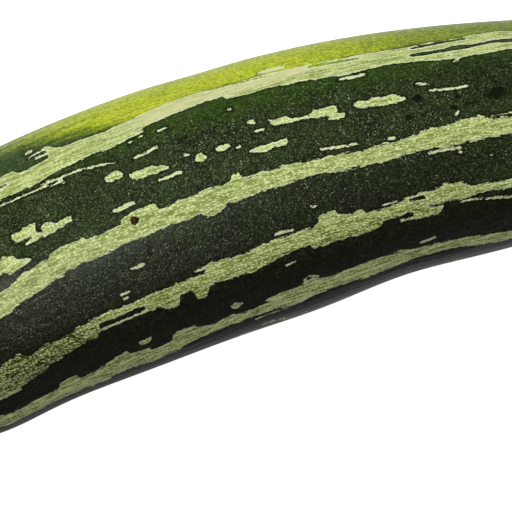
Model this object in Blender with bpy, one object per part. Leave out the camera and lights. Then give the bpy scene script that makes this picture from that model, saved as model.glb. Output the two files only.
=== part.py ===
"""A striped zucchini as picked, lying on its side: the fruit and the cut stem that it grew on.

Metres, +Z up. X runs along the bend's chord, from the blossom end to the stem, and the outside of the
bend faces +Y. The origin is on the table, under the middle of the whole outline.
A station is a distance along the bent axis, from the blossom end. An angle goes round the axis: 0 is
straight up, 90 degrees faces the outside of the bend and 180 degrees faces the table.
"""

import math

import bmesh
import bpy
from mathutils import Vector

# Fruit
FRUIT_LENGTH = 0.228
BEND_RADIUS = 0.400
BELLY_RADIUS = 0.0273
BELLY_STATION = 0.078
BLOSSOM_NARROWING = 0.0040
NECK_NARROWING = 0.0198
NECK_REACH = 0.260
BLOSSOM_CAP = 0.044
BLOSSOM_POWER = 2.3
SHOULDER_LENGTH = 0.026
SHOULDER_POWER = 2.2
SEAT_RADIUS = 0.0126
SEAT_DISH = 0.0008
FLAT_DEPTH = 0.0003

# The middle of the whole outline, which is put over the origin: along the chord, and out of the bend
MIDDLE_ALONG = 0.0154
MIDDLE_OUT = -0.0049

# Ribs and lobes that follow the fruit's length
RIB_COUNT = 10
RIB_HEIGHT = 0.00022
RIB_ANGLE = math.radians(2)
LOBE_COUNT = 5
LOBE_HEIGHT = 0.0011
LOBE_FADE = 0.030

# Blossom scar, a shallow round pit with a raised rim
SCAR_RADIUS = 0.0058
SCAR_DEPTH = 0.0009
SCAR_RIM = 0.0004
SCAR_RIM_WIDTH = 0.0014

# Gentle swells and hollows: station, angle in degrees, height, length, spread in degrees
SWELLS = (
    (0.030, 150, 0.0005, 0.014, 40),
    (0.036, -92, 0.0005, 0.010, 34),
    (0.054, -92, -0.0004, 0.013, 34),
    (0.108, -92, 0.0004, 0.012, 34),
    (0.131, -92, -0.0007, 0.012, 34),
    (0.157, -92, 0.0004, 0.012, 34),
    (0.100, 92, -0.0003, 0.008, 30),
    (0.130, 88, 0.0002, 0.020, 40),
    (0.192, 40, 0.0007, 0.016, 40),
)

# Stem, measured along its own axis from the fruit
STEM_GAP = 0.0003
STEM_LENGTH = 0.029
STEM_WAIST = 0.0078
STEM_FOOT = 0.0112
STEM_FOOT_REACH = 0.0065
STEM_TOP = 0.0086
STEM_TOP_REACH = 0.010
STEM_BEND_RADIUS = 0.110
STEM_RISE_RADIUS = 0.220
STEM_RIB_SHARE = 0.09
STEM_GROOVE_SHARE = 0.028
STEM_CUT_SLOPE = 0.22
STEM_CUT_DISH = 0.0007

# Mesh resolution
FRUIT_SEGMENTS = 60
FRUIT_RINGS = 54
FRUIT_END_RINGS = 0.22
STEM_SEGMENTS = 50
STEM_RINGS = 26
STEM_FACE_RINGS = 4

SKIN_GREEN = (0.028, 0.062, 0.016, 1.0)
STEM_GREEN = (0.30, 0.39, 0.15, 1.0)


def smoothstep(share):
    """0 below 0, 1 above 1, and an even S between."""
    share = min(max(share, 0.0), 1.0)
    return share * share * (3 - 2 * share)


def clear_scene():
    for old in list(bpy.data.objects):
        bpy.data.objects.remove(old)


def collection(name):
    made = bpy.data.collections.new(name)
    bpy.context.scene.collection.children.link(made)
    return made


def skin_material(name, colour, roughness):
    material = bpy.data.materials.new(name)
    material.use_nodes = True
    shader = material.node_tree.nodes["Principled BSDF"]
    shader.inputs["Base Color"].default_value = colour
    shader.inputs["Roughness"].default_value = roughness
    shader.inputs["Metallic"].default_value = 0.0
    return material


def axis_point(station):
    """The fruit's axis at a station, on the table, with the directions along it and out of the bend."""
    turn = (station - FRUIT_LENGTH / 2) / BEND_RADIUS
    outward = Vector((math.sin(turn), math.cos(turn), 0))
    along = Vector((math.cos(turn), -math.sin(turn), 0))
    apex = Vector((MIDDLE_ALONG, BEND_RADIUS + MIDDLE_OUT, 0))
    return BEND_RADIUS * outward - apex, along, outward


def body_radius(station):
    """The fruit's plain radius, before its ends are rounded."""
    past = station - BELLY_STATION
    if past < 0:
        return BELLY_RADIUS - BLOSSOM_NARROWING * (past / BELLY_STATION) ** 2
    return BELLY_RADIUS - NECK_NARROWING * (1 - math.cos(math.pi * past / NECK_REACH)) / 2


def round_end(distance, length, power):
    """A rounded end's share of the full radius, from 0 at the tip to 1 at its length."""
    share = min(max(1 - distance / length, 0.0), 1.0)
    return (1 - share**power) ** (1 / power)


def outline_radius(station):
    """The fruit's radius with both ends rounded, before ribs and swells."""
    body = body_radius(station)
    shoulder = round_end(FRUIT_LENGTH - station, SHOULDER_LENGTH, SHOULDER_POWER)
    return (SEAT_RADIUS + (body - SEAT_RADIUS) * shoulder) * round_end(station, BLOSSOM_CAP, BLOSSOM_POWER)


def ribs(station, angle):
    """How far the ribs stand out. The stem's five lobes run on into the shoulder and fade."""
    fade = smoothstep(1 - (FRUIT_LENGTH - station) / LOBE_FADE)
    rib = RIB_HEIGHT * math.cos(RIB_COUNT * (angle - RIB_ANGLE))
    lobe = LOBE_HEIGHT * fade * math.cos(LOBE_COUNT * (angle - RIB_ANGLE))
    return rib + lobe


def swells(station, angle):
    total = 0.0
    for middle, facing, height, length, spread in SWELLS:
        turn = math.remainder(angle - math.radians(facing), math.tau)
        total += height * math.exp(-(((station - middle) / length) ** 2) - (turn / math.radians(spread)) ** 2)
    return total


def axis_height(station):
    """The axis sags with the taper, so that the underside lies along the table."""
    return body_radius(station) + RIB_HEIGHT * math.cos(RIB_COUNT * (math.pi - RIB_ANGLE)) - FLAT_DEPTH


def scar_shift(radius):
    """How far the blossom end is pushed in, or out at the scar's rim, at a distance from its middle."""
    pit = SCAR_DEPTH * (1 - smoothstep(radius / SCAR_RADIUS))
    rim = SCAR_RIM * math.exp(-(((radius - SCAR_RADIUS) / SCAR_RIM_WIDTH) ** 2))
    return pit - rim


def fruit_point(ring, angle):
    """A point of the skin. ring runs from 0 at the blossom scar to 1 at the seat of the stem."""
    eased = FRUIT_END_RINGS
    reach = (min(ring, eased) ** 2 - max(ring - 1 + eased, 0) ** 2) / (2 * eased) + max(ring - eased, 0)
    station = FRUIT_LENGTH * reach / (1 - eased)
    radius = outline_radius(station)
    if 0 < ring < 1:
        radius += (ribs(station, angle) + swells(station, angle)) * min(radius / BELLY_RADIUS, 1.0)
    if ring == 1:
        radius = 0.0
        station -= SEAT_DISH
    station += scar_shift(radius) * smoothstep(1 - station / BLOSSOM_CAP)
    foot, _, outward = axis_point(station)
    up = Vector((0, 0, 1))
    centre = foot + up * axis_height(station)
    return centre + radius * (math.cos(angle) * up + math.sin(angle) * outward)


def stem_point(ring, angle):
    """A point of the stem. ring runs from 0 at the middle of its foot to 1 at the middle of its cut."""
    face = STEM_FACE_RINGS / STEM_RINGS
    share = min(max((ring - face) / (1 - 2 * face), 0.0), 1.0)
    inset = min(ring / face, (1 - ring) / face, 1.0)
    length = share * STEM_LENGTH
    flare = (STEM_FOOT - STEM_WAIST) * (1 - smoothstep(length / STEM_FOOT_REACH))
    swell = (STEM_TOP - STEM_WAIST) * smoothstep(1 - (STEM_LENGTH - length) / STEM_TOP_REACH)
    lobes = STEM_RIB_SHARE * math.cos(LOBE_COUNT * (angle - RIB_ANGLE))
    grooves = STEM_GROOVE_SHARE * math.cos(2 * LOBE_COUNT * (angle - RIB_ANGLE))
    radius = inset * (STEM_WAIST + flare + swell) * (1 + lobes + grooves)
    slope = share * STEM_CUT_SLOPE * radius * math.cos(angle)
    dish = STEM_CUT_DISH * (1 - inset) * (share > 0)
    length += slope - dish
    seat, along, outward = axis_point(FRUIT_LENGTH)
    up = Vector((0, 0, 1))
    start = seat + up * axis_height(FRUIT_LENGTH) + along * STEM_GAP
    sideways = length**2 / (2 * STEM_BEND_RADIUS)
    rise = length**2 / (2 * STEM_RISE_RADIUS)
    centre = start + along * length - outward * sideways + up * rise
    lean_side, lean_up = length / STEM_BEND_RADIUS, length / STEM_RISE_RADIUS
    across = (outward + along * lean_side).normalized()
    upright = (up - along * lean_up).normalized()
    return centre + radius * (math.cos(angle) * upright + math.sin(angle) * across)


def loft(name, segments, rings, point, material, home):
    """A closed body from a UV sphere: each vertex goes where its ring and its angle say."""
    mesh = bpy.data.meshes.new(name)
    shape = bmesh.new()
    bmesh.ops.create_uvsphere(shape, u_segments=segments, v_segments=rings, radius=1)
    for vertex in shape.verts:
        ring = round(math.acos(max(-1.0, min(1.0, vertex.co.z))) / math.pi * rings) / rings
        vertex.co = point(ring, math.atan2(vertex.co.y, vertex.co.x))
    shape.to_mesh(mesh)
    shape.free()
    mesh.materials.append(material)
    mesh.shade_smooth()
    made = bpy.data.objects.new(name, mesh)
    home.objects.link(made)
    return made


def rest_flat(fruit, cutters):
    """Cuts the small flat that the fruit lies on, at table height."""
    slab_height = 0.02
    bpy.ops.mesh.primitive_cube_add(size=1, location=(0, 0, -slab_height / 2))
    slab = bpy.context.object
    slab.name = "table_cutter"
    slab.scale = (2 * FRUIT_LENGTH, FRUIT_LENGTH, slab_height)
    slab.hide_render = True
    slab.display_type = "WIRE"
    for owner in list(slab.users_collection):
        owner.objects.unlink(slab)
    cutters.objects.link(slab)
    cut = fruit.modifiers.new("rest flat", "BOOLEAN")
    cut.operation = "DIFFERENCE"
    cut.object = slab


def main():
    clear_scene()
    parts = collection("zucchini")
    cutters = collection("cutters")
    skin = skin_material("fruit_skin", SKIN_GREEN, 0.38)
    bark = skin_material("stem_skin", STEM_GREEN, 0.62)
    fruit = loft("fruit", FRUIT_SEGMENTS, FRUIT_RINGS, fruit_point, skin, parts)
    rest_flat(fruit, cutters)
    loft("stem", STEM_SEGMENTS, STEM_RINGS, stem_point, bark, parts)


main()
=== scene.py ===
"""A striped zucchini as picked: its ribbed skin, its torn pale stripes and its cut stem.

The fruit lies on its side. A station is a distance along its bent axis, from the blossom end. An angle
goes round the axis: 0 is straight up, 90 degrees faces the outside of the bend, 180 faces the table.
"""

import math

import bpy
import numpy as np
from mathutils import Color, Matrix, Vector


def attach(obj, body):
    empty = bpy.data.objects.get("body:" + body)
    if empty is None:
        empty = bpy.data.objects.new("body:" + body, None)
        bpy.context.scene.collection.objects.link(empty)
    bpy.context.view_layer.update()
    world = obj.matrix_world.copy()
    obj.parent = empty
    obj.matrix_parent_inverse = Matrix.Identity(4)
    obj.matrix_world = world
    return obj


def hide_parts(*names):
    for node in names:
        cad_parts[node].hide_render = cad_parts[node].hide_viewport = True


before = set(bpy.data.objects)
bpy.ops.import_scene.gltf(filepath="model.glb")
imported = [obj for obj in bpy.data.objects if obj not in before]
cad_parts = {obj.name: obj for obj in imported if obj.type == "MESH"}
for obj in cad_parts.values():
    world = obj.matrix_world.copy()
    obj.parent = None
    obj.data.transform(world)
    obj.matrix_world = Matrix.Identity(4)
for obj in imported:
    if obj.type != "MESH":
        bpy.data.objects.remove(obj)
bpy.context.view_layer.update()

bl_info = {
    "name": "Striped Zucchini",
    "version": (1, 0, 0),
    "blender": (4, 5, 0),
    "location": "View3D > Sidebar > Zucchini",
    "description": "Builds a striped zucchini with its stem, on a pale studio floor",
    "category": "Add Mesh",
}

BODY = "root"
MM = 0.001

# The fruit's shape, in metres
FRUIT_LENGTH = 0.228
BEND_RADIUS = 0.400
BELLY_RADIUS = 0.0273
BELLY_STATION = 0.078
BLOSSOM_NARROWING = 0.0040
NECK_NARROWING = 0.0198
NECK_REACH = 0.260
BLOSSOM_CAP = 0.044
BLOSSOM_POWER = 2.3
SHOULDER_LENGTH = 0.026
SHOULDER_POWER = 2.2
SEAT_RADIUS = 0.0126
SEAT_DISH = 0.0008
FLAT_DEPTH = 0.0003
MIDDLE_ALONG = 0.0154
MIDDLE_OUT = -0.0049
RIB_COUNT = 10
RIB_HEIGHT = 0.00022
RIB_ANGLE = math.radians(2)
LOBE_COUNT = 5
LOBE_HEIGHT = 0.0011
LOBE_FADE = 0.030
SCAR_RADIUS = 0.0058
SCAR_DEPTH = 0.0009
SCAR_RIM = 0.0004
SCAR_RIM_WIDTH = 0.0014

# The fruit's mesh: how far its end rings reach in metres, from where to where in mm its rings are finest,
# and the gap in metres over which seams are joined
END_REACH = 0.030
FINE_FROM = 44
FINE_TO = 158
SEAM_GAP = 0.000002

# Gentle swells and hollows: station, angle in degrees, height, length, spread in degrees
SWELLS = (
    (0.030, 150, 0.0005, 0.014, 40),
    (0.036, -92, 0.0005, 0.010, 34),
    (0.054, -92, -0.0004, 0.013, 34),
    (0.108, -92, 0.0004, 0.012, 34),
    (0.131, -92, -0.0007, 0.012, 34),
    (0.157, -92, 0.0004, 0.012, 34),
    (0.100, 92, -0.0003, 0.008, 30),
    (0.130, 88, 0.0002, 0.020, 40),
    (0.192, 40, 0.0007, 0.016, 40),
)

# The stem's shape, measured along its own axis from the fruit
STEM_GAP = 0.0003
STEM_LENGTH = 0.029
STEM_WAIST = 0.0078
STEM_FOOT = 0.0112
STEM_FOOT_REACH = 0.0065
STEM_TOP = 0.0086
STEM_TOP_REACH = 0.010
STEM_BEND_RADIUS = 0.110
STEM_RISE_RADIUS = 0.220
STEM_RIB_SHARE = 0.09
STEM_GROOVE_SHARE = 0.028
STEM_CUT_SLOPE = 0.22
STEM_CUT_DISH = 0.0007
STEM_FACE_RINGS = 16
STEM_SIDE_RINGS = 90
BRISTLE_TIP = 0.00001

# The blossom scar's cork: distance from its middle and height over the skin's end
BLOSSOM_PROFILE = (
    (0.0, -0.0004), (0.0007, -0.0005), (0.0013, -0.0007), (0.0020, -0.0006), (0.0029, -0.0004),
    (0.0038, -0.0003), (0.0046, -0.0002), (0.0052, -0.00014), (0.0056, -0.00016), (0.0062, -0.0006),
    (0.0060, -0.0014), (0.0, -0.0030),
)

# The healed nick: its station in mm and its angle, and its profile in shares of its radius and in metres
NICK_PLACE = (80.1, 3.9)
NICK_PROFILE = (
    (0.0, 0.00004), (0.35, 0.00008), (0.62, 0.00022), (0.85, 0.00024),
    (1.0, 0.00010), (1.08, -0.00010), (0.8, -0.0004), (0.0, -0.0005),
)

# The picture: its width and middle at the height of the widest part, and how far it is rolled
PICTURE_WIDTH = 0.1047
PICTURE_MIDDLE = (-0.02853, -0.00785, 0.027)
PICTURE_ROLL = math.radians(-15.92)
SENSOR_WIDTH = 36.0
FLOOR_GAP = 0.0001

# Lights: name, place, size, the setting that holds its power, colour, and whether reflections show it
LIGHTS = (
    ("key_light", (0.02, 0.75, 1.05), (0.9, 0.6), "key_power", (1, 0.99, 0.96), False),
    ("top_light", (-0.28, -0.20, 1.10), (0.4, 0.4), "top_power", (0.97, 0.99, 1), True),
)

# The stripes that the picture shows. Each edge is a line of (station in mm, angle in degrees).
STRIPE_A_TOP = (
    (56, 48), (61.5, 48.3), (62.3, 45.8), (64.5, 45), (66.5, 45.9), (69, 46.8), (69.4, 55.6), (70.3, 53.2),
    (71, 51.2), (72.3, 50.6), (76, 50.2), (80, 49.5), (84, 50.8), (86, 51.5), (88, 52.4), (90, 53.4),
    (94, 54.8), (97, 55.4), (112, 55.3), (124, 54.8), (140, 55), (142, 55.7), (144, 56.5), (146, 57.1),
    (150, 58), (152, 59), (154, 60), (156, 61), (158, 61.5), (161, 60.5),
)
STRIPE_A_FOOT = (
    (56, 35.4), (65, 35.6), (67, 36.2), (68, 36.8), (70, 37.7), (74, 38), (76, 38.8), (80, 38.2),
    (82, 38.8), (84.4, 39.5), (85, 41.4), (87, 42.3), (88.5, 43.5), (91, 44.3), (94, 45.3), (97, 46.2),
    (100, 46.9), (103.6, 47.4), (104.2, 44.7), (106, 44.3), (109, 43.9), (112, 44.7), (114, 44.4),
    (116, 43.5), (120, 43.4), (122, 42.7), (124, 42.8), (126, 41.8), (128, 41.7), (130, 42.5), (133, 43),
    (136, 43.4), (139, 42.8), (142, 42.2), (145, 41.4), (149, 40.8), (150, 41), (152, 42.4), (154, 42),
    (156, 42.5), (158, 43.4), (161, 44.1),
)
STRIPE_B_TOP = (
    (46, -3), (50.5, -1.4), (52, -1.4), (54, -0.2), (56, 1.4), (58, 1.8), (60, 2.4), (62.3, 2.8), (62.6, 4.4),
    (65, 4.9), (69.6, 5.5), (69.9, 3.3), (74, 3.6), (76, 3.8), (77.5, 4.4), (77.8, 6.3), (79, 7.1), (82, 7.4),
    (84, 8), (84.9, 7.2), (85.2, 5.6), (85.4, 4.5), (88, 4.3), (89.3, 5.5), (92, 5.3), (95, 5.8), (100.2, 6),
    (100.6, 8.8), (102.3, 8.5), (102.6, 6.1), (104, 5.1), (106, 6), (107.7, 5.9), (107.9, 5.3), (111, 5.9),
    (114, 5.8), (116, 5), (118, 5.1), (120, 4.7), (122, 4.1), (126, 3.6), (130, 3.8), (134, 4.3), (138, 4.6),
    (138.4, 6.3), (140, 6.6), (144, 6.3), (146, 7.4), (148, 8), (150, 7.6), (150.5, 8.7), (151.5, 7.4),
    (153, 5.9), (157, 5.4), (160, 5.6),
)
STRIPE_B_FOOT = (
    (46, -13.6), (48, -12.6), (50, -11.6), (52, -10.8), (53.5, -9.2), (56, -8.9), (58, -8.1), (60, -7.1),
    (62, -6.2), (64, -5.5), (66, -5.1), (68, -4.5), (74, -4.7), (76, -4), (80, -3.4), (83, -3.2), (90, -3.1),
    (92.5, -2.6), (93.2, -4.3), (94.5, -5.1), (96, -4.9), (97.5, -3.9), (98, -2.4), (101, -2.2), (104, -1.8),
    (108, -2), (112, -1.3), (115, -1), (118, -1.6), (120, -2), (123, -2.9), (130, -3.3), (134, -2.7),
    (137, -2.2), (139, -2.8), (142, -3.1), (150, -2.7), (153, -2.2), (160, -1.9),
)
STRIPE_C_TOP = (
    (40, -34.5), (43, -33.2), (44, -31.7), (45, -30.8), (48, -29.6), (48.9, -30), (49.1, -32.3), (51, -32.1),
    (53, -30.8), (54.5, -30.4), (56, -31.5), (58, -31.2), (60, -30.5), (62, -29), (66, -28.5), (68, -27.7),
    (69, -27.6), (70, -28.4), (78, -28), (82, -27.4), (86, -27.4), (90, -26.7), (90.2, -25.1), (91, -23.6),
    (94, -24.3), (96, -24.9), (100, -24.7), (102, -23.9), (104, -23.5), (107, -23.6), (110, -23.1),
    (113, -23.6), (114.4, -22.6), (114.8, -19.8), (116, -19.2), (118.5, -19), (119, -21.4), (120, -22),
    (123.8, -22.3), (124.3, -23.9), (128, -24.1), (131.5, -23.6), (132.5, -22.2), (138, -21.6), (140.5, -21),
    (141, -20), (143, -20.4), (145, -21.6), (146.2, -23.5), (146.7, -24.4), (150, -24.7), (155, -25.1),
    (160, -25.3),
)
STRIPE_C_FOOT = (
    (40, -48.2), (44, -47.8), (46, -46.7), (48, -45.5), (50, -44.5), (52, -43), (53, -41.4), (55, -41),
    (57, -39.4), (60, -38.2), (62, -37), (63.5, -37.2), (65, -36.1), (65.6, -31.6), (75.5, -31.4),
    (76.4, -34.8), (79, -35), (79.3, -37), (80, -37.4), (82.3, -37.2), (83, -35), (83.2, -32.5), (86, -32.5),
    (86.1, -37.8), (88.4, -38.2), (89, -35.7), (89.5, -33.7), (91, -33.3), (95, -34.1), (99, -34.1),
    (101, -33.3), (103.8, -32.6), (104.2, -31.6), (106, -30.8), (111.6, -30.8), (111.9, -33.1), (114, -33.3),
    (117, -32.5), (120, -32.6), (121.5, -33.4), (122.5, -32.9), (126.8, -32.5), (127, -29.9), (133.8, -29.3),
    (134.1, -33.3), (136.8, -33.9), (137, -28.5), (139, -28.3), (141, -28.8), (143, -29.2), (144, -29.2),
    (146, -28.9), (146.5, -28.5), (150, -28.7), (152, -29.3), (160, -29.8),
)
STRIPE_D_TOP = (
    (40, -61.6), (44, -60.9), (46, -60), (50, -59.6), (52, -59), (52.5, -57), (53.5, -56), (55, -55.2),
    (56.7, -54.9), (56.9, -58.2), (58, -58.4), (60, -57.6), (62, -56.8), (64, -55.3), (66, -53.8),
    (68.6, -52.5), (68.9, -55.8), (70, -56), (73.2, -56.6), (73.4, -58), (76, -58.4), (78.3, -56.9),
    (78.6, -53.7), (80, -53), (83.7, -52.7), (83.9, -55), (86, -56.3), (88, -56.8), (90, -55.3), (92, -54.5),
    (93, -56.3), (96, -56.5), (98, -56), (100, -55.5), (101.2, -52.6), (103, -51.8), (105, -51.4),
    (112, -51.4), (115, -52.2), (118, -51.4), (120, -51), (128, -51), (129.5, -50.2), (131, -51), (133, -52),
    (136, -52.7), (138, -52.7), (140, -53.5), (142, -54.3), (144, -54.5), (146, -55.3), (148, -56.5),
    (150, -57.4), (152, -58.4), (156, -59.5), (160, -60.5),
)
STRIPE_D_FOOT = (
    (40, -69.8), (46, -69.4), (50, -68.8), (54, -68.5), (57, -68), (58.5, -68.8), (60, -67.7), (61.5, -68.8),
    (62.5, -68.4), (63.5, -66.6), (66, -65.9), (70, -66.3), (72, -67.7), (74, -67.1), (76, -66.3),
    (79, -67), (79.3, -64.6), (80, -63.9), (84, -63), (88, -61.8), (92, -61.7), (100, -61.2), (104, -61.6),
    (108, -62), (112, -61), (116, -60.8), (120, -61.2), (121.5, -62.3), (124, -61.7), (128, -60.9),
    (132, -60), (136, -59.6), (140, -59.8), (143, -61), (146, -63), (149, -64.4), (152, -65.5), (156, -66.5),
    (160, -67.5),
)

# Loose pale marks: a line of (station in mm, lower angle, upper angle) for each
PALE_MARKS = (
    ((55, 32.5, 33.3), (62, 32.3, 33.1), (66.4, 31.9, 32.9), (67.5, 31.4, 32.2), (69, 31.3, 32.1),
     (70.3, 30, 30.7)),
    ((65.6, 33.6, 34.3), (68, 33.4, 34.4), (70, 33.4, 34.3), (73, 33, 33.9), (74.6, 32.8, 33.7)),
    ((69, 32.9, 33.8), (69.6, 31.6, 33.6), (70, 31.3, 32.2)),
    ((73.8, 33, 33.7), (75, 32.5, 33.4), (77, 31.8, 32.7), (79.3, 30.8, 31.6), (80.6, 30.6, 31.2)),
    ((65, 52.2, 53.2), (66.4, 52.8, 54), (68, 53.5, 55), (68.6, 53.3, 56), (69.6, 48, 56)),
    ((66.2, 49.4, 51), (69.4, 49.4, 51.1)),
    ((64.8, 56.2, 57.6), (65.6, 56, 58.5), (66.3, 56, 57.6)),
    ((82, 38.6, 42), (84.5, 39.8, 41.5), (87.4, 40.4, 41.6)),
    ((84, 37, 37.8), (85, 37.2, 38)),
    ((86, 38.1, 38.9), (87.2, 38.2, 39.1)),
    ((90, 37.8, 38.6), (91.8, 37.9, 39.2)),
    ((103.7, 37.6, 38.9), (104.6, 37.5, 38.6)),
    ((111.3, 57, 58.6), (113, 56.6, 59.3), (115.4, 56.6, 59.3), (116.5, 57.2, 58.6)),
    ((125.6, 39, 40.2), (128, 38.8, 40.3), (130.8, 38.7, 40.4)),
    ((148, 38.6, 39.5), (149.1, 38.8, 40.1)),
    ((57, 15, 18.8), (57.6, 14.3, 18.6), (60, 14.6, 18.9), (60.6, 15.2, 19.2), (61.9, 16, 19.6)),
    ((58.8, 11.4, 12.2), (60.2, 11.7, 13.6), (61, 11.9, 16), (62, 12, 14.8), (65, 12.2, 14.8),
     (67.5, 13, 15.6), (68.9, 13.8, 15.6)),
    ((62.9, 14, 16.4), (64, 14, 17.6), (65.3, 14, 16.2)),
    ((50.5, 4.8, 7), (52.6, 5, 10.6), (54, 3.6, 11.4), (55.5, 3.6, 10), (56.2, 3.8, 7.5), (58.6, 5, 5.9)),
    ((77.5, 24, 26), (78.5, 22.9, 26), (79, 23, 26.7), (80.4, 23.2, 26.7), (81, 24, 25.6)),
    ((76.5, 10.2, 11), (78, 9.6, 11.2), (80, 10, 11.7), (81.3, 10.4, 11.3)),
    ((82.2, 21.4, 23.3), (83, 20, 23.6), (86.5, 19.9, 23.5), (88.5, 19.7, 22.4), (89.8, 19.8, 20.9)),
    ((87.1, 15.9, 16.7), (89, 15.8, 17), (91, 16, 17.6), (91.9, 15.8, 16.7)),
    ((84, 29.1, 30.1), (86.5, 29.4, 30.5), (89, 30.3, 31.7)),
    ((93.2, 23, 24.3), (94.3, 21.9, 23.1)),
    ((95.1, 18.6, 21.2), (96.3, 18, 22), (97.2, 18.8, 20.4)),
    ((99.4, 20.8, 22.2), (100.3, 19.8, 22.3), (101.5, 20.2, 22.4), (102.2, 20.6, 21.8)),
    ((103.2, 19, 20.1), (104.1, 19, 20.1)),
    ((105.4, 15.6, 16.5), (106.5, 15, 17), (108.2, 13.9, 17.2), (109.6, 14.8, 17), (110.3, 15, 17.5),
     (111, 14.7, 16.8), (112.7, 14.6, 17.6), (113.1, 15.8, 16.7)),
    ((106.6, 28.8, 29.9), (108, 27.4, 29.5)),
    ((107.5, 23.6, 24.9), (109.4, 23.5, 24.6)),
    ((110.7, 26.5, 28), (111.4, 24.6, 27.3), (114, 24.3, 27.4), (115, 24.2, 25.5), (118.4, 23.7, 25),
     (119.5, 23.1, 26.9), (122, 22.9, 26.6), (123.3, 23.4, 26.9), (123.9, 24.2, 26.4)),
    ((122, 21, 24), (123, 20.2, 24), (124.4, 20.2, 23), (125.1, 21.2, 22.5)),
    ((118.6, 8.1, 9), (121, 7.5, 8.5), (124, 6.7, 7.7), (126, 6.7, 7.6)),
    ((127.3, 24.2, 26), (128.3, 22.8, 26.2), (130, 22.9, 25.6), (131, 22.5, 26.4), (133, 22.2, 25.8),
     (134.5, 22.3, 26.5), (135.3, 22.4, 26.3), (135.9, 22.6, 25), (137.3, 22.8, 24)),
    ((132, 5.8, 6.9), (133.4, 5, 6.3)),
    ((139.8, 29.2, 30.5), (141, 28.4, 30), (142.4, 27.6, 28.5)),
    ((142, 24.8, 25.8), (144, 24.1, 25.2), (147, 23.6, 24.7), (149.8, 24.1, 24.9)),
    ((145.9, 10.4, 11.5), (146.9, 11.4, 12.8)),
    ((152.8, 6.9, 7.5), (155, 7, 7.6), (158, 7.2, 7.8)),
    ((139.2, -5, -3.9), (142, -4.8, -3.5), (144.5, -5.1, -3.9), (146, -5.2, -4.3)),
    ((145, -7.4, -6.5), (145.9, -7.4, -6.4)),
    ((151.4, -11.4, -10.3), (152.1, -11.5, -10.4)),
    ((76, -14.8, -13.9), (77, -15.2, -14), (78.5, -15.2, -13.8), (79, -14.5, -13.7)),
    ((72, -23.7, -22.8), (73, -23.9, -22.7), (74.1, -23.6, -22.6)),
    ((72.2, -25.8, -24.8), (73.5, -25.8, -24.9)),
    ((113.8, -14.7, -13.8), (115.2, -15.2, -14.4)),
    ((105.4, -21.7, -20.8), (107, -21.8, -20.3), (109.3, -22.3, -21.5)),
    ((127.8, -23, -22.2), (131.2, -22.7, -22)),
    ((87.6, -25.4, -24.7), (89, -25.6, -24.5), (90.6, -26, -24.2)),
    ((65.6, -35.2, -34.2), (70, -34.9, -34), (76.6, -34.8, -33.4)),
    ((130.7, -32.8, -31.7), (132.5, -32.8, -31.6), (134.2, -33.4, -32.2)),
    ((134, -33.4, -30.2), (137, -34, -29.8), (138.7, -34.3, -29.7), (139.2, -32.8, -29.8), (140.1, -31, -30)),
    ((143.8, -30.8, -29.8), (146, -31.3, -30.3), (148.5, -32.1, -31.2)),
    ((149, -32.8, -31.9), (151, -33.7, -32.3), (153.2, -34.6, -33.2), (156, -36, -34.6)),
    ((105.5, -37.3, -36.3), (107, -36.8, -35.8), (108.1, -36.3, -35.5)),
    ((92.2, -50.8, -48.8), (93.2, -51.8, -48), (94, -51.4, -48.8), (94.9, -50.4, -49.4)),
    ((71.6, -52.2, -49.7), (73, -52.8, -49.6), (74.4, -51.2, -49.4)),
    ((99.3, -54, -52.8), (101.4, -55, -52.4)),
    ((134, -49.6, -48.2), (135.8, -49.4, -47.9), (137.6, -48.8, -47)),
    ((108.3, -51.8, -48.4), (109.4, -51.8, -47.2), (110.6, -51.8, -47.2), (111.6, -51.8, -48.6)),
    ((96.2, -65, -63.9), (98, -64.4, -63.2), (101, -64.2, -63.2), (104, -63.8, -62.6), (107.5, -63, -61.6)),
)

# Dark slits and nicks in the pale stripes, in the same form
DARK_SLITS = (
    ((140.6, 52.7, 53.8), (141.4, 52.6, 54.4), (144, 53.3, 55.5), (146, 54.1, 56.4), (148, 54.8, 57),
     (151.8, 55.7, 57.7)),
    ((140, 47.4, 48.2), (140.6, 46.2, 48.8), (144, 46.3, 49), (147, 46.5, 49.4), (148.5, 46.8, 51),
     (150, 47.2, 51.8), (151.5, 47.6, 50.8), (153, 48.4, 51), (155, 49.5, 52), (157, 50.3, 53),
     (158.5, 49.6, 53.2), (162, 49, 52.6)),
    ((101, 54.2, 55), (104.5, 53.8, 55.1), (108, 53.4, 54.9), (112.5, 53.3, 54.6), (114, 53.6, 54.3)),
    ((120.4, 52.6, 53.3), (121, 52, 53.9), (125, 51.7, 53.7), (129, 51.3, 53.2), (131, 51.5, 52.4)),
    ((147.2, 43.2, 44.4), (147.9, 43, 44.4)),
    ((56, 41, 43.2), (59.8, 41.5, 42.5)),
    ((56, 33.9, 34.3), (65.6, 33.9, 34.3)),
    ((133.4, -24.6, -22.8), (136.8, -24.6, -22.8)),
    ((136.6, -29, -28.5), (141, -29.4, -28.9)),
    ((109, -49.4, -48), (110.3, -49.4, -48)),
    ((66.8, 32, 33), (68.6, 32, 33)),
    ((58.5, 13, 13.5), (60.4, 13, 13.6)),
    ((61.6, 14.4, 17.5), (62.9, 13.9, 17.5)),
)

# The middle of each stripe and its usual width, in degrees, first where the picture doesn't show it
HIDDEN_STRIPES = ((102, 8), (130, 7), (158, 9), (186, 7), (214, 8.5), (242, 7.5), (270, 8))
SEEN_STRIPES = ((48, 9), (2.5, 8.5), (-28, 8), (-60, 8))
DRAWN_STRIPES = (
    (STRIPE_A_FOOT, STRIPE_A_TOP),
    (STRIPE_B_FOOT, STRIPE_B_TOP),
    (STRIPE_C_FOOT, STRIPE_C_TOP),
    (STRIPE_D_FOOT, STRIPE_D_TOP),
)

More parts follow.
